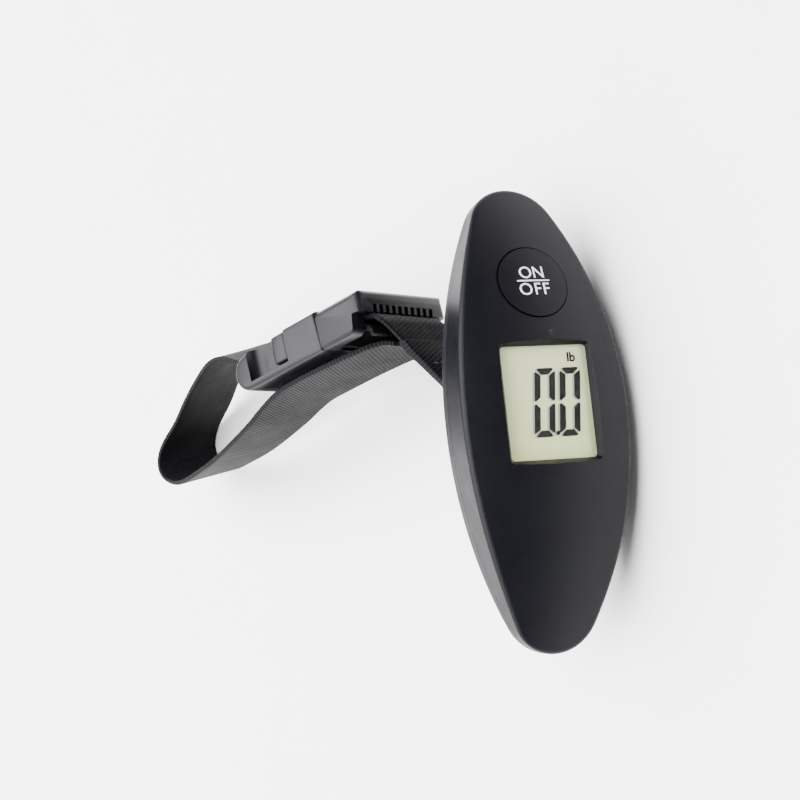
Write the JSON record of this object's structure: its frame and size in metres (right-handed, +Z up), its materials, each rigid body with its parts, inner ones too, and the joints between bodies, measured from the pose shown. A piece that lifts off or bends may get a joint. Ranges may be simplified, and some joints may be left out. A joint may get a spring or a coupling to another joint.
{
  "type": "digital luggage scale",
  "caption": "Oval hand-held digital luggage scale with a flat display window, round power button and a webbing loop closed by a side-release buckle.",
  "frame": {"origin": "point on the surface straight under the middle of the case's length and thickness, where the case stands on its long side", "axes": "+X along the case towards the power button, +Y away from the display to the strap side, +Z up from the surface; the case leans back 24.5 degrees about X"},
  "size_m": [0.125, 0.175, 0.0511],
  "materials": {
    "case_front": "satin moulded",
    "case_back": "satin moulded",
    "lens": "clear",
    "display": "reflective liquid crystal",
    "holder": "moulded",
    "zebra": "silicone",
    "button": "satin moulded",
    "switch": "moulded",
    "plunger": "moulded",
    "board": "solder mask",
    "epoxy": "cured drop",
    "chips": "ceramic",
    "beam": "milled",
    "gauges": "foil on film",
    "leads": "insulated",
    "screws": "zinc plated",
    "boss": "satin moulded",
    "pin": "ground",
    "cell": "rolled",
    "contacts": "nickel plated",
    "door": "satin moulded",
    "buckle": "fine spark-eroded texture",
    "webbing": "woven nylon"
  },
  "bodies": {
    "case": {"front_shell": "case_front", "rear_shell": "case_back", "window_lens": "lens", "display_glass": "display", "display_holder": "holder", "zebra_strips": "zebra", "tact_switch": "switch", "circuit_board": "board", "chip_blob": "epoxy", "board_components": "chips", "load_beam": "beam", "strain_gauges": "gauges", "gauge_leads": "leads", "beam_screws": "screws", "coin_cell": "cell", "negative_contact": "contacts", "positive_contact": "contacts", "case_screws": "screws"},
    "button": {"power_button": "button"},
    "plunger": {"switch_plunger": "plunger"},
    "boss": {"pull_boss": "boss", "strap_pin": "pin", "pull_screw": "screws"},
    "door": {"battery_door": "door"},
    "strap": {"strap_leg": "webbing", "strap_male_end": "webbing", "strap_tail": "webbing", "strap_near": "webbing", "buckle_male": "buckle"},
    "prong_upper": {"buckle_prong_upper": "buckle"},
    "prong_lower": {"buckle_prong_lower": "buckle"},
    "loop": {"buckle_female": "buckle", "strap_far": "webbing"}
  },
  "joints": [
    {"name": "button_press", "type": "slide", "parent": "case", "child": "button", "axis": [0, 0.91, -0.4147], "range_m": [0, 0.0006], "stiffness_N_per_m": 600},
    {"name": "switch_travel", "type": "slide", "parent": "case", "child": "plunger", "axis": [0, 0.91, -0.4147], "range_m": [0, 0.0006]},
    {"name": "load_pull", "type": "slide", "parent": "case", "child": "boss", "axis": [0, 0.91, -0.4147], "range_m": [0, 0.0004], "stiffness_N_per_m": 12000},
    {"name": "strap_swing", "type": "hinge", "parent": "boss", "child": "strap", "pos_m": [0, 0.0222, 0.01503], "axis": [0, 0.4147, 0.91], "range_deg": [-5, 95]},
    {"name": "buckle_release", "type": "slide", "parent": "strap", "child": "loop", "axis": [-0.1754, 0.9845, 0], "range_m": [0, 0.024], "deforming": ["buckle_prong_upper", "buckle_prong_lower"]},
    {"name": "prong_squeeze_upper", "type": "hinge", "parent": "strap", "child": "prong_upper", "pos_m": [0.03177, 0.05437, 0.0452], "axis": [-0.9845, -0.1754, 0], "range_deg": [0, 11], "stiffness_Nm_per_rad": 0.05},
    {"name": "prong_squeeze_lower", "type": "hinge", "parent": "strap", "child": "prong_lower", "pos_m": [0.03177, 0.05437, 0.0216], "axis": [0.9845, 0.1754, 0], "range_deg": [0, 11], "stiffness_Nm_per_rad": 0.05},
    {"name": "battery_door_off", "type": "slide", "parent": "case", "child": "door", "axis": [0, 0.91, -0.4147], "range_m": [0, 0.012]}
  ],
  "couplings": [
    {"joint": "switch_travel", "follows": "button_press", "ratio": 1},
    {"joint": "prong_squeeze_lower", "follows": "prong_squeeze_upper", "ratio": 1}
  ]
}
